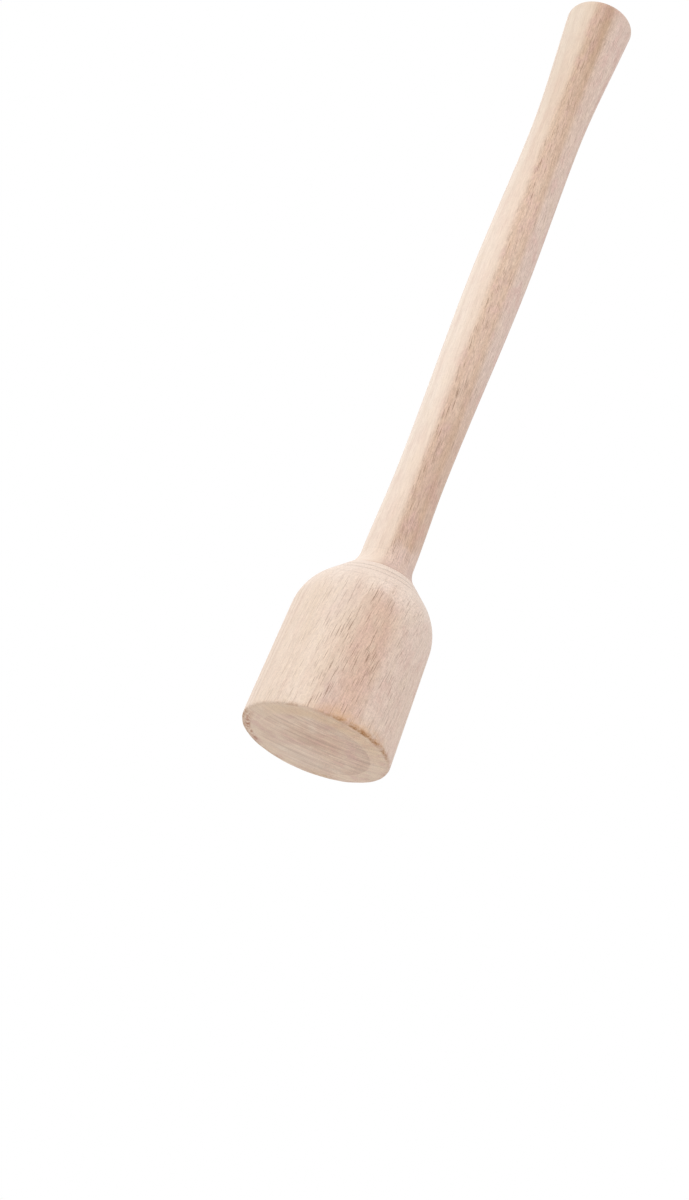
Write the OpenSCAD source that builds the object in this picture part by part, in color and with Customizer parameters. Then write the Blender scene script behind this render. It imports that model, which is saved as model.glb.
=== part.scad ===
// Kraut stomper: a turned beech head with a flat foot, a round shoulder and a coned top, and a turned
// beech handle whose round tenon is glued into a blind socket bored down the head.
// It stands on its foot at z = 0, with its axis along z.

/* [Overall] */
// Length from the foot to the end of the knob
overall_l = 332; // [300:1:420]

/* [Head] */
// Diameter across the edge of the foot
base_d = 55; // [48:0.5:70]
// Height of the wall, from the foot up to where the shoulder begins
wall_h = 47.2; // [38:0.2:65]
// How much narrower the wall is at the shoulder than at the foot, across the diameter
wall_taper = 2.8; // [0.4:0.2:6]
// Radius of the round shoulder between the wall and the cone above it
shoulder_round = 21.6; // [15:0.1:23]
// Angle between that cone and the axis
cone_lean = 43.4; // [35:0.1:50]
// Diameter of the flat that the stomper stands on
foot_d = 41; // [30:0.5:44]
// How far the ring round that flat rises towards the wall
foot_relief = 0.6; // [0.2:0.1:1.5]
// Radius of the worn edge between that ring and the wall
foot_edge_r = 0.8; // [0.4:0.1:2]

/* [Handle] */
// Diameter of the neck, just above the cove
neck_d = 20; // [18:0.2:23]
// Radius of the cove in which the neck runs out onto the cone
cove_r = 10.8; // [6:0.1:12]
// How far out the foot of the handle carries the cone on below the cove
foot_run = 0.75; // [0.3:0.05:1.5]
// Diameter of the lower waist
lower_waist_d = 18.6; // [15:0.1:22]
// Height of the lower waist above the head
lower_waist_rise = 43.5; // [25:0.5:70]
// Diameter of the swell in the middle of the grip
swell_d = 21.8; // [18:0.1:28]
// Distance from the upper waist down to the swell
swell_drop = 65; // [35:1:90]
// Diameter of the upper waist
upper_waist_d = 19.9; // [15:0.1:24]
// Distance from the end of the knob down to the upper waist
upper_waist_drop = 62; // [40:1:90]
// Diameter of the knob at the end of the handle
knob_d = 25.8; // [22:0.2:34]
// Angle at which the handle still widens as it reaches the knob
knob_flare = 3.3; // [0:0.1:8]
// Radius of the rounded edge of the knob
knob_round = 4.2; // [2:0.1:7]
// Slope of the crowned end of the knob where it meets that edge
knob_crown = 4; // [2:0.5:15]

/* [Glued joint] */
// Diameter of the tenon
tenon_d = 14; // [11:0.5:16]
// Length of the tenon
tenon_l = 38; // [25:1:45]
// Chamfer round the end of the tenon
tenon_chamfer = 1; // [0.5:0.1:2]
// Number of glue grooves turned into the tenon
groove_count = 4; // [1:1:6]
// Width of a glue groove
groove_w = 1.6; // [1:0.1:2.4]
// Depth of a glue groove
groove_depth = 0.5; // [0.2:0.1:0.8]
// Room for glue between the tenon and the wall of the socket
glue_gap = 0.15; // [0.1:0.05:0.3]
// Room for glue below the end of the tenon
end_gap = 1; // [0.5:0.5:3]
// Chamfer round the mouth of the socket
mouth_chamfer = 0.6; // [0.3:0.1:1]
// Diameter of the dimple that the drill's centre point leaves
spur_d = 3; // [2:0.5:5]
// Depth of that dimple
spur_l = 2; // [1:0.5:4]

/* [Curves] */
// Straight steps in each long curve of the handle
curve_steps = 20; // [8:1:40]
// Straight steps in the round shoulder of the head
shoulder_steps = 32; // [12:1:64]
// Straight steps in each small rounding
round_steps = 10; // [4:1:20]

/* [Hidden] */
$fn = 96;
head_colour = [0.87, 0.76, 0.66];
handle_colour = [0.90, 0.81, 0.71];
glue_colour = [0.80, 0.70, 0.48];
right_angle = 90;

// The ring round the foot and the wall lean by these angles, and the edge is tangent to both
base_r = base_d / 2;
shoulder_r = base_r - wall_taper / 2;
ring_lean = atan(foot_relief / (base_r - foot_d / 2));
wall_lean = atan((base_r - shoulder_r) / (wall_h - foot_relief));
edge_run = foot_edge_r / tan((right_angle + ring_lean - wall_lean) / 2);
edge_centre = [base_r, foot_relief]
    - edge_run * [cos(ring_lean), sin(ring_lean)]
    + foot_edge_r * [-sin(ring_lean), cos(ring_lean)];

// The round shoulder is tangent to the wall and to the cone
shoulder_centre = [shoulder_r, wall_h] - shoulder_round * [cos(wall_lean), sin(wall_lean)];
cone_start = shoulder_centre + shoulder_round * [cos(cone_lean), sin(cone_lean)];

// The cone is cut flat where the handle seats on it, and carries on over the joint into the cove
cove_start_r = neck_d / 2 + cove_r * (1 - cos(cone_lean));
seat_r = cove_start_r + foot_run;
seat_z = cone_start[1] + (cone_start[0] - seat_r) / tan(cone_lean);

// Heights along the handle
cove_start_z = seat_z + foot_run / tan(cone_lean);
neck_z = cove_start_z + cove_r * sin(cone_lean);
lower_waist_z = seat_z + lower_waist_rise;
upper_waist_z = overall_l - upper_waist_drop;
swell_z = upper_waist_z - swell_drop;

// The knob's rounded edge carries on from the flare, and its crowned end from that edge
knob_edge_r = knob_d / 2 - knob_round * cos(knob_flare);
crown_r = (knob_edge_r + knob_round * sin(knob_crown)) / sin(knob_crown);
crown_z = overall_l - crown_r;
knob_edge_z = crown_z + (crown_r - knob_round) * cos(knob_crown);
knob_z = knob_edge_z - knob_round * sin(knob_flare);

// The tenon hangs below the seat, and the socket leaves room for glue round it
tenon_r = tenon_d / 2;
tenon_z = seat_z - tenon_l;
groove_pitch = tenon_l / (groove_count + 1);
socket_r = tenon_r + glue_gap;
socket_z = tenon_z - end_gap;

function reversed(points) = [for (i = [len(points) - 1:-1:0]) points[i]];

function arc(centre, radius, from, to, steps) =
    [for (i = [0:steps]) let (a = from + (to - from) * i / steps) centre + radius * [cos(a), sin(a)]];

// A curve from one diameter to the next, which starts level with the axis and ends at an angle to it
function turned(z0, d0, z1, d1, end_angle = 0) =
    [for (i = [1:curve_steps])
        let (u = i / curve_steps)
        let (widening = (d1 - d0) / 2 * u * u * (3 - 2 * u))
        let (end_slope = (z1 - z0) * tan(end_angle) * u * u * (u - 1))
        [d0 / 2 + widening + end_slope, z0 + (z1 - z0) * u]];

// Wall of the socket, from the axis out and up to the seat
socket_line = [
    [0, socket_z - spur_l],
    [spur_d / 2, socket_z],
    [socket_r, socket_z],
    [socket_r, seat_z - mouth_chamfer],
    [socket_r + mouth_chamfer, seat_z]
];

// Surface of the tenon, from the axis out and up to the seat, with a notch for each groove
tenon_line = concat(
    [[0, tenon_z], [tenon_r - tenon_chamfer, tenon_z], [tenon_r, tenon_z + tenon_chamfer]],
    [for (i = [1:groove_count])
        let (z = tenon_z + i * groove_pitch)
        each [[tenon_r, z - groove_w / 2], [tenon_r - groove_depth, z], [tenon_r, z + groove_w / 2]]],
    [[tenon_r, seat_z]]
);

// Outside of the head, from the middle of the foot up to the seat
head_line = concat(
    [[0, 0], [foot_d / 2, 0]],
    arc(edge_centre, foot_edge_r, ring_lean - right_angle, wall_lean, round_steps),
    arc(shoulder_centre, shoulder_round, wall_lean, cone_lean, shoulder_steps),
    [[seat_r, seat_z]]
);

// Outside of the handle, from the seat up to the end of the knob
handle_line = concat(
    [[seat_r, seat_z]],
    arc([neck_d / 2 + cove_r, neck_z], cove_r, 2 * right_angle + cone_lean, 2 * right_angle, round_steps),
    turned(neck_z, neck_d, lower_waist_z, lower_waist_d),
    turned(lower_waist_z, lower_waist_d, swell_z, swell_d),
    turned(swell_z, swell_d, upper_waist_z, upper_waist_d),
    turned(upper_waist_z, upper_waist_d, knob_z, knob_d, knob_flare),
    arc([knob_edge_r, knob_edge_z], knob_round, -knob_flare, right_angle - knob_crown, round_steps),
    arc([0, crown_z], crown_r, right_angle - knob_crown, right_angle, round_steps)
);

module head() {
    color(head_colour) rotate_extrude() polygon(concat(head_line, reversed(socket_line)));
}

module handle() {
    color(handle_colour) rotate_extrude() polygon(concat(tenon_line, handle_line));
}

// Cured glue, which fills what the tenon leaves of the socket
module glue_film() {
    color(glue_colour) rotate_extrude() polygon(concat(socket_line, reversed(tenon_line)));
}

head();
handle();
glue_film();
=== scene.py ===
import math
from types import SimpleNamespace
import bmesh
import bpy
from mathutils import Matrix, Vector


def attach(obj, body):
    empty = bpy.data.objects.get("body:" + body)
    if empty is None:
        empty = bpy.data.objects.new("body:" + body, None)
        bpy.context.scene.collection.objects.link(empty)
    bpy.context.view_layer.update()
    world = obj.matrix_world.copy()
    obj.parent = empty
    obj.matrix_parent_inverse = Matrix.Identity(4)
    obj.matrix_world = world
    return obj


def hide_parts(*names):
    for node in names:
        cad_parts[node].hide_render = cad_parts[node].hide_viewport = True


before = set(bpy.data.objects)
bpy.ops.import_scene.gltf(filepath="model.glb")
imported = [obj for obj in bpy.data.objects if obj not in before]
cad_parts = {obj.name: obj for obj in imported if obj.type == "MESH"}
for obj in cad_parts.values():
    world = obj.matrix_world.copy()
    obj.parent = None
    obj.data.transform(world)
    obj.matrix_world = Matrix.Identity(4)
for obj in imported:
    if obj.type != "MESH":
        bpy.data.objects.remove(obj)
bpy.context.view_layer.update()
scene = bpy.context.scene
scene.view_settings.view_transform = "Standard"
mm = 0.001
white = (1, 1, 1, 1)
print("frame loaded:", sorted(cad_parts))

# camera: below the foot, looking up along the leaning stomper
shot = dict(
    place=(0.0, -1.0441, -0.4415),  # metres
    aim=(-0.0091, 0.0, 0.0562),
    roll=21.83,                     # degrees, leans the stomper to the right
    lens=97.67,                     # millimetres, as the width of the sensor is
    sensor=36,
    clipStart=0.01,                 # metres
)


def lookAlong(place, aim):
    return (Vector(aim) - Vector(place)).to_track_quat("-Z", "Y")


bpy.ops.object.select_all(action="DESELECT")
bpy.ops.object.camera_add(location=shot["place"])
cam = bpy.context.object
cam.name = "photoCamera"
gaze = lookAlong(shot["place"], shot["aim"]).to_matrix()
cam.rotation_euler = (gaze @ Matrix.Rotation(math.radians(shot["roll"]), 3, "Z")).to_euler()
cam.data.lens = shot["lens"]
cam.data.sensor_width = shot["sensor"]
cam.data.clip_start = shot["clipStart"]
scene.camera = cam
print("camera set")


# helpers for the node trees
def addNode(tree, kind, wires=None, **settings):
    node = tree.nodes.new(kind)
    for key, value in settings.items():
        setattr(node, key, value)
    for key, value in (wires or {}).items():
        if isinstance(value, bpy.types.NodeSocket):
            tree.links.new(value, node.inputs[key])
        else:
            node.inputs[key].default_value = value
    return node


def newMaterial(name):
    mat = bpy.data.materials.new(name)
    mat.use_nodes = True
    mat.node_tree.nodes.clear()
    return mat, mat.node_tree


def calc(tree, how, a, b=None, clamp=False):
    wires = {0: a} if b is None else {0: a, 1: b}
    return addNode(tree, "ShaderNodeMath", wires, operation=how, use_clamp=clamp).outputs[0]


def plus(tree, a, b):
    return calc(tree, "ADD", a, b)


def minus(tree, a, b):
    return calc(tree, "SUBTRACT", a, b)


def times(tree, value, *others):
    for other in others:
        value = calc(tree, "MULTIPLY", value, other)
    return value


# a noise made to run as far to one side of nought as to the other
def swing(tree, noise, width):
    return times(tree, minus(tree, noise, 0.5), width)


def vectorCalc(tree, how, a, b=None):
    wires = {0: a} if b is None else {0: a, 1: b}
    outputs = addNode(tree, "ShaderNodeVectorMath", wires, operation=how).outputs
    return outputs["Value" if how in ("LENGTH", "DISTANCE", "DOT_PRODUCT") else "Vector"]


def splitUp(tree, vector):
    return addNode(tree, "ShaderNodeSeparateXYZ", {0: vector}).outputs


def joinUp(tree, x, y, z=0.0):
    return addNode(tree, "ShaderNodeCombineXYZ", {0: x, 1: y, 2: z}).outputs[0]


def ease(tree, value, start, end, low=0.0, high=1.0):
    wires = {"Value": value, "From Min": start, "From Max": end, "To Min": low, "To Max": high}
    return addNode(tree, "ShaderNodeMapRange", wires, interpolation_type="SMOOTHSTEP").outputs[0]


def mottle(tree, vector, size, detail, rough, output=0):
    stretched = vectorCalc(tree, "MULTIPLY", vector, size)
    wires = {"Vector": stretched, "Scale": 1.0, "Detail": detail, "Roughness": rough}
    return addNode(tree, "ShaderNodeTexNoise", wires).outputs[output]


def lineNoise(tree, value, scale=1.0):
    wires = {"W": value, "Scale": scale}
    return addNode(tree, "ShaderNodeTexNoise", wires, noise_dimensions="1D").outputs[0]


def cells(tree, vector):
    return addNode(tree, "ShaderNodeTexVoronoi", {"Vector": vector, "Scale": 1.0}, feature="F1").outputs


def layTone(tree, under, tone, share, how="MIX"):
    under = under if isinstance(under, bpy.types.NodeSocket) else (*under, 1)
    wires = {0: share, 6: under, 7: (*tone, 1)}
    return addNode(tree, "ShaderNodeMix", wires, data_type="RGBA", blend_type=how).outputs[2]


def mixShaders(tree, share, a, b):
    return addNode(tree, "ShaderNodeMixShader", {0: share, 1: a, 2: b}).outputs[0]


def finishSurface(tree, colour, gloss, relief, look):
    wires = {"Strength": look["bumpStrength"], "Distance": look["bumpDistance"] * mm, "Height": relief}
    bump = addNode(tree, "ShaderNodeBump", wires).outputs[0]
    wires = {"Base Color": colour, "Roughness": gloss, "Normal": bump, "Specular IOR Level": look["specular"]}
    shader = addNode(tree, "ShaderNodeBsdfPrincipled", wires).outputs[0]
    addNode(tree, "ShaderNodeOutputMaterial", {"Surface": shader})


# noises that all the beech shares: stretch for each millimetre, detail and roughness
beechNoise = dict(
    drift=((0.03, 0.01, 0.012), 0.6, 0.5),      # slow wander of the grain
    fibre=((2.4, 2.4, 0.06), 4.0, 0.62),
    pore=((6.0, 6.0, 0.3), 1.0, 0.5),
    cloud=((0.05, 0.05, 0.018), 2.0, 0.5),      # large soft tones
    speckle=((2.2, 2.2, 0.42), 2.0, 0.65),      # short flicks along the grain
    sawn=((0.05, 0.85, 0.0), 4.0, 0.7),         # streaks along the rings of the end grain
    pebble=((1.3, 1.3, 1.9), 1.0, 0.6),         # grit of the sanded surface
    blush=((0.2, 0.2, 0.11), 4.0, 0.6),         # rosy and creamy blots
    turned=((0.12, 0.12, 0.1), 1.0, 0.5),       # where the turning marks are left
    ragged=((0.1, 0.1, 0.05), 3.0, 0.5),        # uneven ends of the patches
    bloom=((0.11, 0.11, 0.11), 3.0, 0.6),       # clouds on the foot
    flecks=((0.8, 0.8, 0.8), 4.0, 0.75),        # broken stains near its edge
    rubbed=((0.35, 0.35, 0.5), 3.0, 0.5),       # coarse and fine gaps in the burnish
    broken=((0.9, 0.9, 1.3), 4.0, 0.7),
)
# where each effect starts and is full, and its two levels where they aren't nought and one
beechFade = dict(
    lateWood=(0.35, 0.95),
    years=(0.0, 1.0, 0.4, 1.0),                 # some years are darker than others
    rayCore=(0.45, 0.3),
    front=(0.35, 0.9),
    cone=(0.16, 0.58, 1.0, 0.2),
    pores=(0.56, 0.72),
    turned=(0.4, 0.62),
    clouds=(0.35, 0.7, 0.0),                    # the last level of these three is the wood's own
    cream=(0.5, 0.3, 0.0),
    quarter=(0.82, 0.98, 1.0),
    rosy=(0.48, 0.68),
    endGrain=(0.75, 0.98),
    offEnd=(0.0, 1.0, 1.0, 0.35),
    gritOffEnd=(0.0, 1.0, 1.0, 0.4),
    fibreShade=(0.2, 0.8, 0.94, 1.06),
    fibreGloss=(0.2, 0.8, 0.6, 0.5),
    speckles=(0.28, 0.72),
    pebbles=(0.3, 0.7),
    sawnShade=(0.3, 0.7, -0.12, 0.12),
    rubbed=(0.36, 0.62, 0.35, 1.0),
    broken=(0.38, 0.58, 0.3, 1.0),
)
beechLook = dict(
    yearNoise=0.09, yearShift=2.2,              # for each millimetre, and in years
    faintRay=0.08, markScale=2.6, marksOnPale=0.3, rosyOnPale=0.25, poreShade=0.04,
    fibreRelief=0.5, rayRelief=0.4, poreRelief=0.3,
    bumpStrength=0.35, bumpDistance=0.12,       # the distance in millimetres
    rimGloss=0.1, specular=0.22,
)


# places on a piece in millimetres: straight along it, and along a grain that leans about a far pith
def findPlaces(tree, wood):
    place = addNode(tree, "ShaderNodeTexCoord").outputs
    inMm = (1 / mm,) * 3
    at = SimpleNamespace(straight=vectorCalc(tree, "MULTIPLY", place["Object"], inMm))
    at.x, at.y, at.z = splitUp(tree, at.straight)
    at.facing = splitUp(tree, place["Normal"])
    at.end = ease(tree, calc(tree, "ABSOLUTE", at.facing[2]), *beechFade["endGrain"])
    at.offEnd = ease(tree, at.end, *beechFade["offEnd"])
    at.endLines = 1.0                           # how much the lines of the end grain show
    inPlan = joinUp(tree, at.x, at.y)
    at.radius = vectorCalc(tree, "LENGTH", inPlan)
    at.outTo = vectorCalc(tree, "NORMALIZE", inPlan)

    # the grain leans, and wanders a little along its length
    turn = (math.radians(wood["grainTilt"]), math.radians(-wood["grainLean"]), 0.0)
    wires = {"Vector": place["Object"], "Location": (*wood["pith"], 0.0), "Rotation": turn, "Scale": inMm}
    grain = addNode(tree, "ShaderNodeMapping", wires).outputs[0]
    drift = mottle(tree, grain, *beechNoise["drift"], "Color")
    drift = vectorCalc(tree, "SUBTRACT", drift, (0.5, 0.5, 0.5))
    drift = vectorCalc(tree, "MULTIPLY", drift, (wood["wander"], wood["wander"], 0.0))
    at.grain = vectorCalc(tree, "ADD", drift, grain)
    at.sideways, deep, at.along = splitUp(tree, at.grain)
    at.outward = vectorCalc(tree, "LENGTH", joinUp(tree, at.sideways, deep))
    at.across = times(tree, calc(tree, "ARCTAN2", at.sideways, deep), abs(wood["pith"][1]))
    return at


def towards(tree, at, angle, width):
    way = (math.cos(math.radians(angle)), math.sin(math.radians(angle)), 0.0)
    return ease(tree, vectorCalc(tree, "DOT_PRODUCT", at.outTo, way), math.cos(math.radians(width)), 1.0)


def growthRings(tree, at, wood):
    uneven = lineNoise(tree, times(tree, at.outward, beechLook["yearNoise"]))
    season = calc(tree, "DIVIDE", at.outward, wood["ringWidth"])
    season = plus(tree, season, times(tree, uneven, beechLook["yearShift"]))
    wires = {"W": calc(tree, "FLOOR", season)}
    year = addNode(tree, "ShaderNodeTexWhiteNoise", wires, noise_dimensions="1D").outputs[0]
    late = ease(tree, calc(tree, "FRACT", season), *beechFade["lateWood"])
    return times(tree, late, ease(tree, year, *beechFade["years"]))


# rays are thin upright sheets, of which only some are bold
def rays(tree, at, size, share):
    ray = cells(tree, vectorCalc(tree, "DIVIDE", joinUp(tree, at.sideways, at.outward, at.along), size))
    tint = addNode(tree, "ShaderNodeSeparateColor", {0: ray["Color"]}).outputs[0]
    bold = ease(tree, tint, *share, beechLook["faintRay"], 1.0)
    return times(tree, ease(tree, ray["Distance"], *beechFade["rayCore"]), bold)


# fibres, pores, rays and the turning marks left round the piece
def findFigure(tree, at, wood):
    at.fibre = mottle(tree, at.grain, *beechNoise["fibre"])
    at.pore = ease(tree, mottle(tree, at.grain, *beechNoise["pore"]), *beechFade["pores"])
    at.cloud = mottle(tree, at.grain, *beechNoise["cloud"])
    at.speckle = mottle(tree, at.grain, *beechNoise["speckle"])
    at.pebble = mottle(tree, at.straight, *beechNoise["pebble"])
    at.blush = mottle(tree, at.straight, *beechNoise["blush"])
    at.sawn = mottle(tree, joinUp(tree, at.across, at.outward), *beechNoise["sawn"])

    left = ease(tree, mottle(tree, at.straight, *beechNoise["turned"]), *beechFade["turned"])
    marks = swing(tree, lineNoise(tree, at.z, beechLook["markScale"]), left)
    at.marks = times(tree, marks, ease(tree, at.x, *wood["marksFrom"], beechLook["marksOnPale"], 1.0))

    # rays are dark dashes on the front and the back, faint on the sides and few on the cone
    front = calc(tree, "ABSOLUTE", at.facing[1])
    front = ease(tree, front, *beechFade["front"], wood["rayOnSides"], 1.0)
    front = times(tree, front, ease(tree, at.facing[2], *beechFade["cone"]))
    at.dash = times(tree, rays(tree, at, wood["raySize"], wood["rayShare"]), front)
    at.fine = times(tree, rays(tree, at, wood["fineSize"], wood["fineShare"]), front)


# tones across the piece, from its left to its right, with painted highlight on the paler sides towards the
# lamps
def layTones(tree, at, wood):
    shift = swing(tree, at.cloud, wood["toneWander"])
    stray = plus(tree, swing(tree, at.fibre, wood["toneFray"]), swing(tree, at.blush, wood["toneBlot"]))
    leaning = minus(tree, at.x, times(tree, at.z, wood["toneLean"]))
    at.side = plus(tree, leaning, plus(tree, shift, stray))
    tones = wood["tones"]
    first, last = tones[0][0], tones[-1][0]
    wires = {"Value": at.side, "From Min": first, "From Max": last}
    spread = addNode(tree, "ShaderNodeMapRange", wires).outputs[0]
    ramp = addNode(tree, "ShaderNodeValToRGB", {"Fac": spread})
    ramp.color_ramp.interpolation = "EASE"
    stops = ramp.color_ramp.elements
    while len(stops) < len(tones):
        stops.new(0.5)
    for stop, (where, tone) in zip(stops, tones):
        stop.position = (where - first) / (last - first)
        stop.color = (*tone, 1)

    warm = ease(tree, at.cloud, *beechFade["clouds"], wood["cloudShare"])
    colour = layTone(tree, ramp.outputs[0], wood["warm"], warm)
    colour = layTone(tree, colour, wood["endTone"], times(tree, at.end, wood["endShare"]))
    rosy = ease(tree, at.side, *wood["rosyFrom"], beechLook["rosyOnPale"], 1.0)
    rosy = times(tree, ease(tree, at.blush, *beechFade["rosy"]), rosy)
    colour = layTone(tree, colour, wood["rosy"], times(tree, rosy, wood["rosyShare"]))
    cream = ease(tree, at.blush, *beechFade["cream"], wood["creamShare"])
    return layTone(tree, colour, wood["cream"], cream)


# patches along the piece, less of them on the end grain: streaks of the wood, and painted light and painted
# shade for where the lamps light it more and less
def layPatches(tree, at, wood, colour):
    ragged = swing(tree, mottle(tree, at.straight, *beechNoise["ragged"]), wood["ragged"])
    ragged = plus(tree, at.z, ragged)
    for how, tone, share, height, band in wood["patches"]:
        strip = times(tree, ease(tree, at.side, band[0], band[1]), ease(tree, at.side, band[3], band[2]))
        spot = times(tree, ease(tree, ragged, *height), times(tree, strip, at.offEnd))
        colour = layTone(tree, colour, tone, times(tree, spot, share), how)
    return colour


# the foot: a flat worn smooth inside a crowned ring
def layFoot(tree, at, foot, colour):
    edge = foot["radius"]
    below = ease(tree, at.z, *foot["height"])
    disc = times(tree, ease(tree, at.radius, edge + foot["discFade"], edge - foot["discFade"]), below)
    at.endLines = ease(tree, disc, 0.0, 1.0, foot["linesOnRing"], 1.0)
    # the flat is darker and pinker and the ring paler: partly the wood's own blots, partly painted shade on
    # the flat and painted light on the ring, as its shallow crown would catch
    tint = times(tree, disc, ease(tree, at.blush, *foot["blots"]))
    colour = layTone(tree, colour, foot["tone"], times(tree, tint, foot["share"]))
    pale = times(tree, minus(tree, below, disc), ease(tree, at.blush, *foot["ringBlots"]))
    colour = layTone(tree, colour, foot["ringTone"], times(tree, pale, foot["ringShare"]))

    bloom = mottle(tree, at.straight, *beechNoise["bloom"])
    for limits, tone, share in foot["clouds"]:
        spot = times(tree, ease(tree, bloom, *limits), times(tree, below, share))
        colour = layTone(tree, colour, tone, spot)
    shape = foot["spotShape"]
    flat = vectorCalc(tree, "MULTIPLY", at.straight, (*shape, 0.0))
    fray = swing(tree, at.sawn, foot["spotFray"])
    for middle, reach, tone, share in foot["spots"]:
        centre = (shape[0] * middle[0], shape[1] * middle[1], 0.0)
        apart = plus(tree, vectorCalc(tree, "DISTANCE", flat, centre), fray)
        spot = times(tree, ease(tree, apart, *reach), times(tree, disc, share))
        colour = layTone(tree, colour, tone, spot)

    for tone, share, side, reach, area in (
        (foot["crease"], foot["creaseShare"], foot["creaseSide"], foot["creaseReach"], disc),
        (foot["nearTone"], foot["nearShare"], foot["nearSide"], foot["nearReach"], below),
    ):
        spot = ease(tree, at.radius, edge + reach[0], edge + reach[1])
        spot = times(tree, spot, towards(tree, at, *side), area)
        colour = layTone(tree, colour, tone, times(tree, spot, share))
    flecks = ease(tree, mottle(tree, at.straight, *beechNoise["flecks"]), *foot["stainFlecks"])
    for angle, width, reach, tone, share in foot["stains"]:
        spot = ease(tree, at.radius, reach, reach + foot["stainFade"])
        spot = times(tree, spot, towards(tree, at, angle, width), below, flecks)
        colour = layTone(tree, colour, tone, times(tree, spot, share))
    return colour


# growth rings, fibres, marks and dashes darken the wood
def layGrain(tree, at, wood, colour):
    onEnd = times(tree, at.end, at.endLines)
    quarter = calc(tree, "ABSOLUTE", at.facing[0])
    quarter = ease(tree, quarter, *beechFade["quarter"], wood["ringOnQuarter"])
    onSide = times(tree, minus(tree, 1.0, at.end), times(tree, quarter, wood["ringOnSide"]))
    shown = plus(tree, onSide, times(tree, onEnd, wood["ringOnEnd"]))
    colour = layTone(tree, colour, wood["late"], times(tree, growthRings(tree, at, wood), shown))

    shade = ease(tree, at.fibre, *beechFade["fibreShade"])
    shade = plus(tree, shade, times(tree, at.marks, wood["markShade"]))
    shade = minus(tree, shade, times(tree, at.pore, beechLook["poreShade"]))
    lively = ease(tree, at.side, *wood["rosyFrom"], wood["quiet"], 1.0)
    flick = ease(tree, at.speckle, *beechFade["speckles"], -wood["speckle"], wood["speckle"])
    shade = times(tree, shade, plus(tree, times(tree, flick, lively), 1.0))
    grit = ease(tree, at.pebble, *beechFade["pebbles"], -wood["grit"], wood["grit"])
    grit = times(tree, grit, lively, ease(tree, at.end, *beechFade["gritOffEnd"]))
    shade = plus(tree, shade, grit)
    sawn = times(tree, ease(tree, at.sawn, *beechFade["sawnShade"]), onEnd)
    shade = times(tree, shade, plus(tree, sawn, 1.0))
    for lineZ, half, share in wood["turnedLines"]:
        apart = calc(tree, "ABSOLUTE", minus(tree, at.z, lineZ))
        shade = minus(tree, shade, ease(tree, apart, half, 0.0, 0.0, share))
    colour = vectorCalc(tree, "MULTIPLY", colour, shade)

    shown = ease(tree, at.side, *wood["dashFrom"], wood["dashOnPale"], 1.0)
    shown = times(tree, shown, ease(tree, at.side, *wood["dashTo"], 1.0, wood["dashOnFlank"]))
    streak = plus(tree, times(tree, at.dash, wood["dashShare"]), times(tree, at.fine, wood["fineDark"]))
    streak = calc(tree, "MULTIPLY", streak, times(tree, shown, at.offEnd), clamp=True)
    return layTone(tree, colour, wood["dash"], streak)


# the burnished edge that has been knocked and handled most
def layRim(tree, at, wood, colour):
    rubbed = ease(tree, mottle(tree, at.straight, *beechNoise["rubbed"]), *beechFade["rubbed"])
    broken = ease(tree, mottle(tree, at.straight, *beechNoise["broken"]), *beechFade["broken"])
    worn = wood["rimLeast"]
    for angle, width, share in wood["rimSides"]:
        worn = calc(tree, "MAXIMUM", worn, times(tree, towards(tree, at, angle, width), share))
    rim = times(tree, ease(tree, at.radius, *wood["rimRadius"]), ease(tree, at.z, *wood["rimHeight"]))
    at.rim = times(tree, rim, broken, times(tree, rubbed, worn))
    foot = wood["foot"]
    if foot:
        tan = times(tree, ease(tree, at.z, *foot["tanHeight"]), ease(tree, at.radius, *foot["tanRadius"]))
        tan = times(tree, tan, times(tree, rubbed, towards(tree, at, *foot["tanSide"])))
        colour = layTone(tree, colour, foot["tan"], times(tree, tan, foot["tanShare"]))
    return layTone(tree, colour, wood["rim"], at.rim)


# beech: growth rings about a far pith, rays that run out from it, fibres along the piece
def makeBeech(name, wood):
    mat, tree = newMaterial(name)
    at = findPlaces(tree, wood)
    findFigure(tree, at, wood)
    colour = layTones(tree, at, wood)
    colour = layPatches(tree, at, wood, colour)
    if wood["foot"]:
        colour = layFoot(tree, at, wood["foot"], colour)
    colour = layGrain(tree, at, wood, colour)
    colour = layRim(tree, at, wood, colour)
    relief = plus(tree, times(tree, at.fibre, beechLook["fibreRelief"]), at.marks)
    relief = minus(tree, relief, times(tree, plus(tree, at.dash, at.fine), beechLook["rayRelief"]))
    relief = minus(tree, relief, times(tree, at.pore, beechLook["poreRelief"]))
    gloss = ease(tree, at.fibre, *beechFade["fibreGloss"])
    gloss = minus(tree, gloss, times(tree, at.rim, beechLook["rimGloss"]))
    finishSurface(tree, colour, gloss, relief, beechLook)
    return mat


lathe = dict(mergeGap=0.002, smoothAngle=28.0)   # millimetres and degrees


# a profile of points is drawn out one by one and spun round the axis, as on a lathe
def turnPiece(name, points, steps):
    bpy.ops.object.select_all(action="DESELECT")
    bpy.ops.mesh.primitive_plane_add(size=2 * mm)
    piece = bpy.context.object
    piece.name = name
    piece.data.name = name
    bpy.ops.object.mode_set(mode="EDIT")
    bpy.ops.mesh.select_all(action="SELECT")
    bpy.ops.mesh.merge(type="CENTER")
    here = (0.0, 0.0)
    for count, point in enumerate(points):
        step = ((point[0] - here[0]) * mm, 0.0, (point[1] - here[1]) * mm)
        if count == 0:
            bpy.ops.transform.translate(value=step)
        else:
            bpy.ops.mesh.extrude_vertices_move(TRANSFORM_OT_translate={"value": step})
        here = point
    bpy.ops.mesh.select_all(action="SELECT")
    bpy.ops.mesh.spin(steps=steps, angle=2 * math.pi, center=(0, 0, 0), axis=(0, 0, 1))
    bpy.ops.mesh.select_all(action="SELECT")
    bpy.ops.mesh.remove_doubles(threshold=lathe["mergeGap"] * mm)
    bpy.ops.mesh.normals_make_consistent(inside=False)
    bpy.ops.object.mode_set(mode="OBJECT")
    bpy.ops.object.shade_smooth_by_angle(angle=math.radians(lathe["smoothAngle"]))
    return piece


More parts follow.
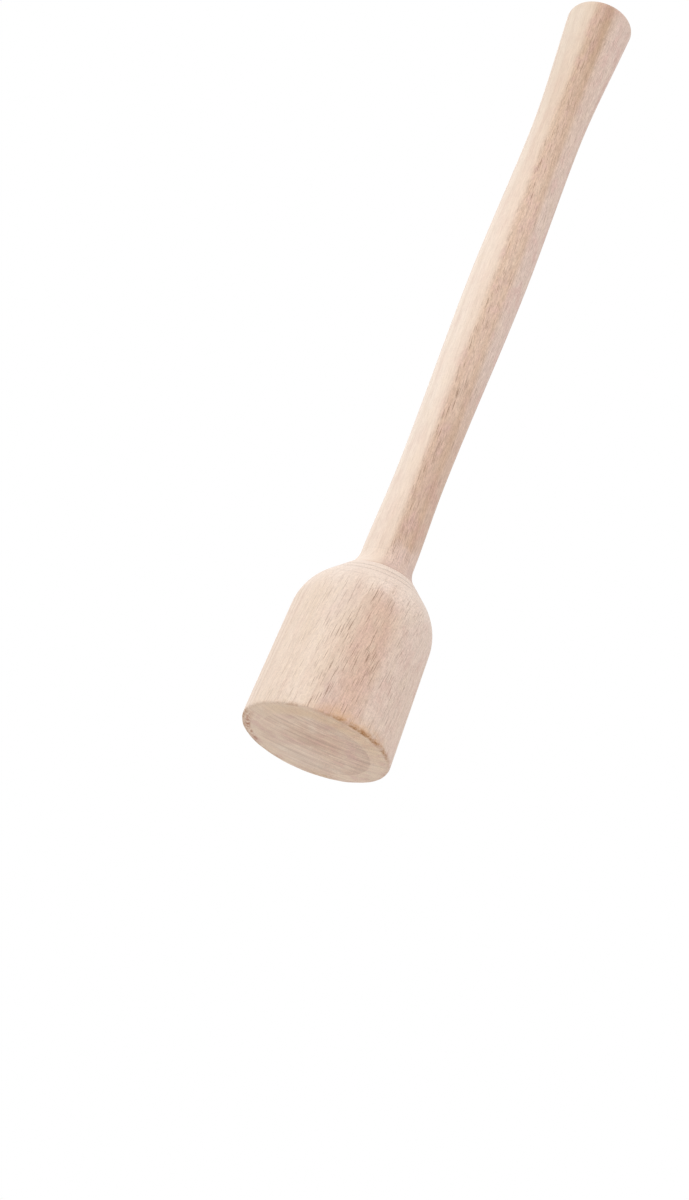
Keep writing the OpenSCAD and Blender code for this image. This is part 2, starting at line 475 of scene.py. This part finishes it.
def arcPoints(centre, radius, start, stop, count):
    turns = [math.radians(start + (stop - start) * i / count) for i in range(count + 1)]
    return [(centre[0] + radius * math.cos(a), centre[1] + radius * math.sin(a)) for a in turns]


# the points between two ends of a straight stretch, without the ends
def runPoints(start, stop, count):
    return [tuple(a + (b - a) * i / count for a, b in zip(start, stop)) for i in range(1, count)]


# a curve that starts level with the axis and ends at an angle to it
def curvePoints(z0, r0, z1, r1, count, endAngle=0.0):
    endSlope = math.tan(math.radians(endAngle))
    points = []
    for i in range(1, count + 1):
        u = i / count
        r = r0 + (r1 - r0) * u * u * (3 - 2 * u) + (z1 - z0) * endSlope * u * u * (u - 1)
        points.append((r, z0 + (z1 - z0) * u))
    return points


# the edge of the foot is rubbed in by a clouded displace that only pushes inwards
def rubIn(piece, s):
    bpy.ops.object.select_all(action="DESELECT")
    piece.select_set(True)
    bpy.context.view_layer.objects.active = piece
    piece.vertex_groups.new(name="rubbed")
    bpy.ops.object.mode_set(mode="EDIT")
    bpy.ops.mesh.select_all(action="DESELECT")
    mesh = bmesh.from_edit_mesh(piece.data)
    for v in mesh.verts:
        v.select = v.co.z < s["rubHeight"] * mm and v.co.xy.length > s["rubRadius"] * mm
    mesh.select_flush(True)
    bmesh.update_edit_mesh(piece.data)
    bpy.ops.object.vertex_group_assign()
    bpy.ops.object.mode_set(mode="OBJECT")
    clouds = bpy.data.textures.new(piece.name + "Rub", "CLOUDS")
    clouds.noise_scale = s["rubGrain"] * mm
    bpy.ops.object.modifier_add(type="DISPLACE")
    rub = piece.modifiers[-1]
    rub.texture = clouds
    rub.texture_coords = "LOCAL"
    rub.vertex_group = "rubbed"
    rub.strength = s["rubDepth"] * mm
    rub.mid_level = 1.0
    bpy.ops.object.modifier_apply(modifier=rub.name)


# joint between head and handle, in degrees and millimetres: the head's cone runs on over it into a cove
# round the neck
joint = dict(coneLean=43.4, neckRadius=10.0, coveRadius=10.8, footRun=0.75, ease=0.12)
coneLean = math.radians(joint["coneLean"])
coveStart = joint["neckRadius"] + joint["coveRadius"] * (1 - math.cos(coneLean))
seatRadius = coveStart + joint["footRun"]

# head: tapered block with a flat foot, a round shoulder, a coned top and a blind socket for the tenon
headShape = dict(
    # millimetres
    baseRadius=27.5, shoulderRadius=26.1, wallHeight=47.2, shoulderRound=21.6,
    footRadius=20.5, footRelief=0.6, edgeRound=0.8,
    socketRadius=7.15, socketDepth=39.0, mouthChamfer=0.6, spurRadius=1.5, spurDepth=2.0,
    turnedLines=(16.7, 19.3), lineWidth=0.6, lineDepth=0.16, lineSkew=0.1,
    rubHeight=2.4, rubRadius=26.0, rubDepth=0.22, rubGrain=6.0,
    # straight steps in each stretch, and round the axis
    footSteps=10, ringSteps=5, edgeSteps=10, wallSteps=24, shoulderSteps=30, socketSteps=6, steps=192,
)


def headProfile(s):
    ringLean = math.atan(s["footRelief"] / (s["baseRadius"] - s["footRadius"]))
    wallLean = math.atan((s["baseRadius"] - s["shoulderRadius"]) / (s["wallHeight"] - s["footRelief"]))
    run = s["edgeRound"] / math.tan((math.pi / 2 + ringLean - wallLean) / 2)
    edge = (s["baseRadius"] - run * math.cos(ringLean) - s["edgeRound"] * math.sin(ringLean),
            s["footRelief"] - run * math.sin(ringLean) + s["edgeRound"] * math.cos(ringLean))
    centre = (s["shoulderRadius"] - s["shoulderRound"] * math.cos(wallLean),
              s["wallHeight"] - s["shoulderRound"] * math.sin(wallLean))
    wallTurn = math.degrees(wallLean)
    middle = (0.0, 0.0)
    flat = (s["footRadius"], 0.0)
    shoulder = (s["shoulderRadius"], s["wallHeight"])
    rim = arcPoints(edge, s["edgeRound"], math.degrees(ringLean) - 90, wallTurn, s["edgeSteps"])
    points = [middle, *runPoints(middle, flat, s["footSteps"]), flat]
    points += runPoints(flat, rim[0], s["ringSteps"])
    points += rim
    points += runPoints(rim[-1], shoulder, s["wallSteps"])
    points += arcPoints(centre, s["shoulderRound"], wallTurn, joint["coneLean"], s["shoulderSteps"])
    coneRadius, coneZ = points[-1]

    def onCone(r):
        return coneZ + (coneRadius - r) / math.tan(coneLean)

    half = s["lineWidth"] / 2
    for r in sorted(s["turnedLines"], reverse=True):             # fine lines cut in by the lathe
        points += [(r + half, onCone(r + half)), (r - s["lineSkew"], onCone(r) - s["lineDepth"]),
                   (r - half, onCone(r - half))]
    seatZ = onCone(seatRadius)
    socketZ = seatZ - s["socketDepth"]
    points += [(seatRadius + joint["ease"], onCone(seatRadius + joint["ease"])),
               (seatRadius - joint["ease"], seatZ - joint["ease"]), (seatRadius - 2 * joint["ease"], seatZ),
               (s["socketRadius"] + s["mouthChamfer"], seatZ), (s["socketRadius"], seatZ - s["mouthChamfer"])]
    for i in range(1, s["socketSteps"] + 1):
        points.append((s["socketRadius"], seatZ - s["socketDepth"] * i / s["socketSteps"]))
    points += [(s["spurRadius"], socketZ), (0.0, socketZ - s["spurDepth"])]
    return points, seatZ


headPoints, seatZ = headProfile(headShape)
head = turnPiece("turnedHead", headPoints, headShape["steps"])
rubIn(head, headShape)
print("head turned:", len(head.data.polygons), "faces, seat at", round(seatZ, 2), "mm")

# handle: tenon, coved foot, two waists with a swell between, and a rounded knob
handleShape = dict(
    # millimetres and degrees; waists and swell as height and radius, the lower waist's height from the
    # seat, the other two heights down from the top
    topZ=332.0, lowerWaist=(43.5, 9.3), swell=(127.0, 10.9), upperWaist=(62.0, 9.95),
    knobRadius=12.9, knobFlare=3.3, knobRound=4.2, knobCrown=4.0,
    tenonRadius=7.0, tenonLength=38.0, tenonChamfer=1.0, grooves=4, grooveWidth=1.6, grooveDepth=0.5,
    # straight steps in each stretch, and round the axis
    coveSteps=14, neckSteps=20, lowerSteps=26, upperSteps=20, flareSteps=24, edgeSteps=18, crownSteps=8,
    steps=160,
)


def handleProfile(s, seatZ):
    tenonZ = seatZ - s["tenonLength"]
    tenon = s["tenonRadius"]
    half = s["grooveWidth"] / 2
    points = [(0.0, tenonZ), (tenon - s["tenonChamfer"], tenonZ), (tenon, tenonZ + s["tenonChamfer"])]
    for i in range(1, s["grooves"] + 1):
        z = tenonZ + i * s["tenonLength"] / (s["grooves"] + 1)
        points += [(tenon, z - half), (tenon - s["grooveDepth"], z), (tenon, z + half)]
    points += [(tenon, seatZ), (seatRadius - 2 * joint["ease"], seatZ),
               (seatRadius - joint["ease"], seatZ + joint["ease"])]
    neckZ = seatZ + joint["footRun"] / math.tan(coneLean) + joint["coveRadius"] * math.sin(coneLean)
    cove = (joint["neckRadius"] + joint["coveRadius"], neckZ)
    points += arcPoints(cove, joint["coveRadius"], 180 + joint["coneLean"], 180, s["coveSteps"])

    lowRise, lowRadius = s["lowerWaist"]
    swellDrop, swellRadius = s["swell"]
    highDrop, highRadius = s["upperWaist"]
    lowZ = seatZ + lowRise
    swellZ = s["topZ"] - swellDrop
    highZ = s["topZ"] - highDrop
    crown = math.radians(s["knobCrown"])
    flare = math.radians(s["knobFlare"])
    edgeRadius = s["knobRadius"] - s["knobRound"] * math.cos(flare)
    crownRadius = edgeRadius / math.sin(crown) + s["knobRound"]
    crownZ = s["topZ"] - crownRadius
    edgeZ = crownZ + (crownRadius - s["knobRound"]) * math.cos(crown)
    knobZ = edgeZ - s["knobRound"] * math.sin(flare)
    crownTurn = 90 - s["knobCrown"]
    points += curvePoints(neckZ, joint["neckRadius"], lowZ, lowRadius, s["neckSteps"])
    points += curvePoints(lowZ, lowRadius, swellZ, swellRadius, s["lowerSteps"])
    points += curvePoints(swellZ, swellRadius, highZ, highRadius, s["upperSteps"])
    points += curvePoints(highZ, highRadius, knobZ, s["knobRadius"], s["flareSteps"], s["knobFlare"])
    points += arcPoints((edgeRadius, edgeZ), s["knobRound"], -s["knobFlare"], crownTurn, s["edgeSteps"])[1:]
    points += arcPoints((0.0, crownZ), crownRadius, crownTurn, 90, s["crownSteps"])[1:-1]
    return points + [(0.0, s["topZ"])]


handle = turnPiece("turnedHandle", handleProfile(handleShape, seatZ), handleShape["steps"])
print("handle turned:", len(handle.data.polygons), "faces")

# In both woods angles are in degrees and lengths in millimetres.
# A tone stands at its place from left to right. A patch has its blend, tone and share, the heights where it
# starts and is full, and the four places from left to right where it starts, is full, and ends again.
# A turned line has its height, half its width and its share.

# wood of the head: pale at the left, rosy at the right, dark dashes of the rays all over its front
headWood = dict(
    grainLean=6.0, grainTilt=0.6, pith=(-9.0, 96.0), wander=2.6, ringWidth=3.8,
    raySize=(0.21, 34.0, 7.2), rayShare=(0.66, 0.95), rayOnSides=0.12,
    fineSize=(0.25, 24.0, 2.6), fineShare=(0.35, 1.0),
    # the pale left and the paler right edge are partly a painted highlight from the lamps on those sides,
    # partly the wood's own tone
    tones=((-14.0, (0.815, 0.67, 0.56)), (-7.0, (0.775, 0.615, 0.50)), (0.5, (0.69, 0.49, 0.385)),
           (5.0, (0.675, 0.467, 0.365)), (13.0, (0.75, 0.585, 0.495))),
    toneLean=0.05, toneWander=9.0, toneFray=1.6, toneBlot=5.0,
    warm=(0.78, 0.585, 0.44), cloudShare=0.2,
    rosy=(0.70, 0.47, 0.40), rosyShare=0.45, rosyFrom=(-8.0, 3.0),
    cream=(0.80, 0.645, 0.50), creamShare=0.35,
    late=(0.56, 0.38, 0.285), ringOnSide=0.22, ringOnQuarter=2.2, ringOnEnd=0.36,
    dash=(0.24, 0.13, 0.085), dashShare=0.9, fineDark=0.34,
    dashFrom=(-14.0, -4.0), dashOnPale=0.52, dashTo=(4.0, 14.0), dashOnFlank=0.8,
    quiet=0.6, speckle=0.09, grit=0.06, markShade=0.1, marksFrom=(-5.0, 10.0), ragged=26.0,
    patches=(
        # brown streak up from the foot, and one on the shoulder
        ("MULTIPLY", (0.92, 0.90, 0.95), 1.0, (28.0, 8.0), (-6.0, -3.0, 0.5, 4.0)),
        ("MULTIPLY", (0.94, 0.92, 0.935), 1.0, (33.0, 43.0), (-16.0, -12.0, -8.0, -5.0)),
        # painted light: the right side of the shoulder and the cone are made paler where they face the lamps
        ("MIX", (0.84, 0.71, 0.63), 0.22, (32.0, 44.0), (12.0, 17.0, 50.0, 60.0)),
        ("MIX", (0.83, 0.70, 0.61), 0.8, (44.0, 62.0), (-60.0, -50.0, 50.0, 60.0)),
    ),
    turnedLines=((65.1, 0.55, 0.19), (62.35, 0.5, 0.17), (57.9, 0.5, 0.07)),
    endTone=(0.805, 0.625, 0.49), endShare=0.7,
    foot=dict(
        radius=headShape["footRadius"], height=(0.7, 0.3), discFade=0.3, linesOnRing=0.5,
        # the flat's tone and the paler ring: partly the wood's own blots, partly painted shade and painted
        # light
        tone=(0.64, 0.43, 0.35), share=0.26, blots=(0.36, 0.6, 0.1, 1.0),
        ringTone=(0.85, 0.69, 0.53), ringShare=0.35, ringBlots=(0.62, 0.4),
        # clouds: where each starts and is full in its noise, tone and share
        clouds=(((0.52, 0.66), (0.70, 0.47, 0.41), 0.55), ((0.46, 0.34), (0.83, 0.68, 0.56), 0.55)),
        # soft spots, longer along the streaks: middle, where each starts and is full, tone and share
        spotShape=(0.7, 1.0), spotFray=16.0,
        spots=(((-3.0, 14.0), (13.0, 3.0), (0.86, 0.72, 0.60), 0.5),
               ((0.0, -5.0), (12.0, 2.0), (0.60, 0.39, 0.28), 0.3)),
        # shade along the right of the flat's edge, and a warmer ring in front: angle and half its width,
        # and where it starts and is full from the edge outwards
        crease=(0.46, 0.31, 0.23), creaseShare=0.2, creaseSide=(355.0, 75.0), creaseReach=(-6.0, -1.5),
        nearTone=(0.71, 0.46, 0.25), nearShare=0.32, nearSide=(276.0, 90.0), nearReach=(-1.5, 2.0),
        # tan that runs a little way up the wall
        tan=(0.70, 0.41, 0.20), tanShare=0.5, tanSide=(292.0, 46.0),
        tanHeight=(7.0, 0.5), tanRadius=(25.6, 26.9),
        # stains: angle and half the width, radius where each starts, tone and share
        stainFade=1.5, stainFlecks=(0.42, 0.56),
        stains=((164.0, 36.0, 23.4, (0.40, 0.15, 0.08), 0.95), (120.0, 16.0, 24.2, (0.5, 0.27, 0.12), 0.6),
                (75.0, 14.0, 23.0, (0.55, 0.32, 0.14), 0.5)),
    ),
    rim=(0.40, 0.19, 0.075), rimRadius=(25.8, 26.8), rimHeight=(2.4, 0.9), rimLeast=0.22,
    # sides that are worn more: angle, half the width and share
    rimSides=((306.0, 50.0, 1.0), (160.0, 55.0, 0.8), (240.0, 14.0, 0.5)),
)
# wood of the handle: a pale strip along its left, a brown strip with dashes, then a rosy flank
handleWood = dict(
    grainLean=-2.5, grainTilt=-0.4, pith=(6.0, 72.0), wander=1.6, ringWidth=4.6,
    raySize=(0.24, 20.0, 6.4), rayShare=(0.58, 0.95), rayOnSides=0.2,
    fineSize=(0.26, 14.0, 2.8), fineShare=(0.3, 1.0),
    # the pale strip and the paler right edge are partly a painted highlight from the lamps on those sides,
    # partly the wood's own figure
    tones=((-6.5, (0.87, 0.745, 0.64)), (-2.2, (0.82, 0.67, 0.555)), (1.4, (0.685, 0.495, 0.375)),
           (3.4, (0.69, 0.50, 0.395)), (6.0, (0.665, 0.475, 0.36)), (8.7, (0.735, 0.57, 0.49))),
    toneLean=-0.0112, toneWander=1.8, toneFray=1.2, toneBlot=1.0,
    warm=(0.76, 0.56, 0.44), cloudShare=0.2,
    rosy=(0.70, 0.475, 0.415), rosyShare=0.62, rosyFrom=(-2.0, 1.0),
    cream=(0.80, 0.65, 0.50), creamShare=0.2,
    late=(0.54, 0.36, 0.27), ringOnSide=0.12, ringOnQuarter=2.6, ringOnEnd=0.5,
    dash=(0.25, 0.14, 0.09), dashShare=0.95, fineDark=0.34,
    dashFrom=(-1.4, 1.0), dashOnPale=0.12, dashTo=(2.5, 5.5), dashOnFlank=0.45,
    quiet=0.3, speckle=0.12, grit=0.04, markShade=0.3, marksFrom=(0.0, 6.0), ragged=20.0,
    patches=(
        # painted shade that darkens the top of the handle up to the knob, and the brown streak from the tip
        ("MULTIPLY", (0.89, 0.87, 0.835), 1.0, (205.0, 322.0), (-30.0, -20.0, 7.0, 11.5)),
        ("MULTIPLY", (0.82, 0.77, 0.72), 0.8, (268.0, 325.0), (2.4, 4.6, 5.8, 8.0)),
        # foot of the brown strip, and of the rosy flank
        ("MULTIPLY", (0.92, 0.89, 0.88), 0.95, (170.0, 110.0), (-1.0, 2.0, 20.0, 30.0)),
        ("MULTIPLY", (0.985, 0.945, 0.885), 1.0, (165.0, 125.0), (5.0, 7.5, 20.0, 30.0)),
        # painted light that makes the cove paler where it faces up to the lamps, and brown again at the joint
        ("MIX", (0.80, 0.63, 0.56), 0.48, (82.0, 78.0), (-1.5, 1.5, 20.0, 30.0)),
        ("MULTIPLY", (0.91, 0.89, 0.90), 1.0, (74.0, 71.0), (-4.0, 0.0, 20.0, 30.0)),
    ),
    turnedLines=((76.2, 0.35, 0.06),),
    endTone=(0.72, 0.54, 0.41), endShare=0.5,
    foot=None,
    rim=(0.5, 0.32, 0.19), rimRadius=(12.0, 12.9), rimHeight=(325.0, 329.0), rimLeast=0.14, rimSides=(),
)
beechPieces = (
    (head, headWood, "head", "head_beech"),
    (handle, handleWood, "handle", "handle_beech"),
)
for piece, wood, node, slot in beechPieces:
    piece.data.materials.clear()
    piece.data.materials.append(makeBeech(slot, wood))
    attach(piece, "root")
    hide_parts(node)
print("beech laid on head and handle")

# cured glue, which only shows in a cut: amber with fine bubbles
glueLook = dict(
    clear=(0.62, 0.46, 0.22), cloudy=(0.78, 0.68, 0.46),
    haze=((180.0, 180.0, 90.0), 4.0, 0.6),      # stretch for each metre, detail and roughness
    hazeFade=(0.35, 0.65), hazeGloss=(0.3, 0.7, 0.3, 0.5),
    bubbleStretch=(1500.0, 1500.0, 1500.0), bubbleFade=(0.3, 0.1), bubble=0.6,
    bumpStrength=0.3, bumpDistance=0.1,         # the distance in millimetres
    specular=0.5,
)


def makeGlue(look):
    mat, tree = newMaterial("curedGlue")
    place = addNode(tree, "ShaderNodeTexCoord").outputs["Object"]
    haze = mottle(tree, place, *look["haze"])
    bubbles = cells(tree, vectorCalc(tree, "MULTIPLY", place, look["bubbleStretch"]))
    spots = ease(tree, bubbles["Distance"], *look["bubbleFade"])
    colour = layTone(tree, look["clear"], look["cloudy"], ease(tree, haze, *look["hazeFade"]))
    colour = layTone(tree, colour, look["cloudy"], times(tree, spots, look["bubble"]))
    gloss = ease(tree, haze, *look["hazeGloss"])
    finishSurface(tree, colour, gloss, minus(tree, haze, spots), look)
    return mat


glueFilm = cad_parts["glue_film"]
glueFilm.data.materials.clear()
glueFilm.data.materials.append(makeGlue(glueLook))
print("glue film finished")

# pale floor just below the foot: it shows from above and keeps the shadow, and is open from below
studio = dict(
    floorZ=-0.3 * mm, floorRadius=4.0, floorFade=(0.35, 1.3),                   # metres
    floorSides=96, floorColour=(0.84, 0.84, 0.83), speckColour=(0.9, 0.9, 0.9),
    speck=((9.0, 9.0, 9.0), 3.0, 0.5), speckFade=(0.3, 0.7, 0.0, 0.1),
    skyLight=0.80,
    # name, place and size in metres, power in watts
    lamps=(
        ("keySoftbox", (-0.98, -0.98, 0.75), (1.0, 1.4), 7.9),
        ("fillSoftbox", (0.9, -0.95, 0.5), (1.0, 1.0), 2.1),
        ("backSoftbox", (-0.6, 1.25, 0.9), (1.2, 1.2), 3.4),
    ),
    lookAt=(0.0, 0.0, 0.16),
)


# one for rays that come from the camera, a reflection or a clear surface, and nought for the rest
def seenRays(tree):
    path = addNode(tree, "ShaderNodeLightPath").outputs
    indirect = calc(tree, "MAXIMUM", path["Is Glossy Ray"], path["Is Transmission Ray"])
    return calc(tree, "MAXIMUM", path["Is Camera Ray"], indirect)


def makeFloorPaint(look):
    mat, tree = newMaterial("floorPaint")
    spread = addNode(tree, "ShaderNodeTexCoord").outputs["Object"]
    speck = ease(tree, mottle(tree, spread, *look["speck"]), *look["speckFade"])
    colour = layTone(tree, look["floorColour"], look["speckColour"], speck)
    matt = addNode(tree, "ShaderNodeBsdfDiffuse", {"Color": colour}).outputs[0]
    glow = addNode(tree, "ShaderNodeEmission", {"Color": white, "Strength": 1.0}).outputs[0]
    away = ease(tree, vectorCalc(tree, "LENGTH", spread), *look["floorFade"])
    faded = mixShaders(tree, away, matt, glow)
    clear = addNode(tree, "ShaderNodeBsdfTransparent").outputs[0]
    topSide = minus(tree, 1.0, addNode(tree, "ShaderNodeNewGeometry").outputs["Backfacing"])
    oneSided = mixShaders(tree, times(tree, seenRays(tree), topSide), clear, faded)
    addNode(tree, "ShaderNodeOutputMaterial", {"Surface": oneSided})
    return mat


bpy.ops.object.select_all(action="DESELECT")
bpy.ops.mesh.primitive_circle_add(
    radius=studio["floorRadius"], vertices=studio["floorSides"], fill_type="NGON",
    location=(0, 0, studio["floorZ"]),
)
floor = bpy.context.object
floor.name = "paleFloor"
floor.data.materials.append(makeFloorPaint(studio))

for name, place, size, power in studio["lamps"]:
    bpy.ops.object.light_add(type="AREA", location=place)
    lamp = bpy.context.object
    lamp.name = name
    lamp.data.shape = "RECTANGLE"
    lamp.data.size, lamp.data.size_y = size
    lamp.data.energy = power
    lamp.rotation_euler = lookAlong(place, studio["lookAt"]).to_euler()
    lamp.visible_camera = False

world = bpy.data.worlds.new("studioWorld")
scene.world = world
world.use_nodes = True
tree = world.node_tree
tree.nodes.clear()
lit = addNode(tree, "ShaderNodeBackground", {"Color": white, "Strength": studio["skyLight"]}).outputs[0]
plain = addNode(tree, "ShaderNodeBackground", {"Color": white, "Strength": 1.0}).outputs[0]
addNode(tree, "ShaderNodeOutputWorld", {"Surface": mixShaders(tree, seenRays(tree), lit, plain)})
print("floor, lamps and sky set")
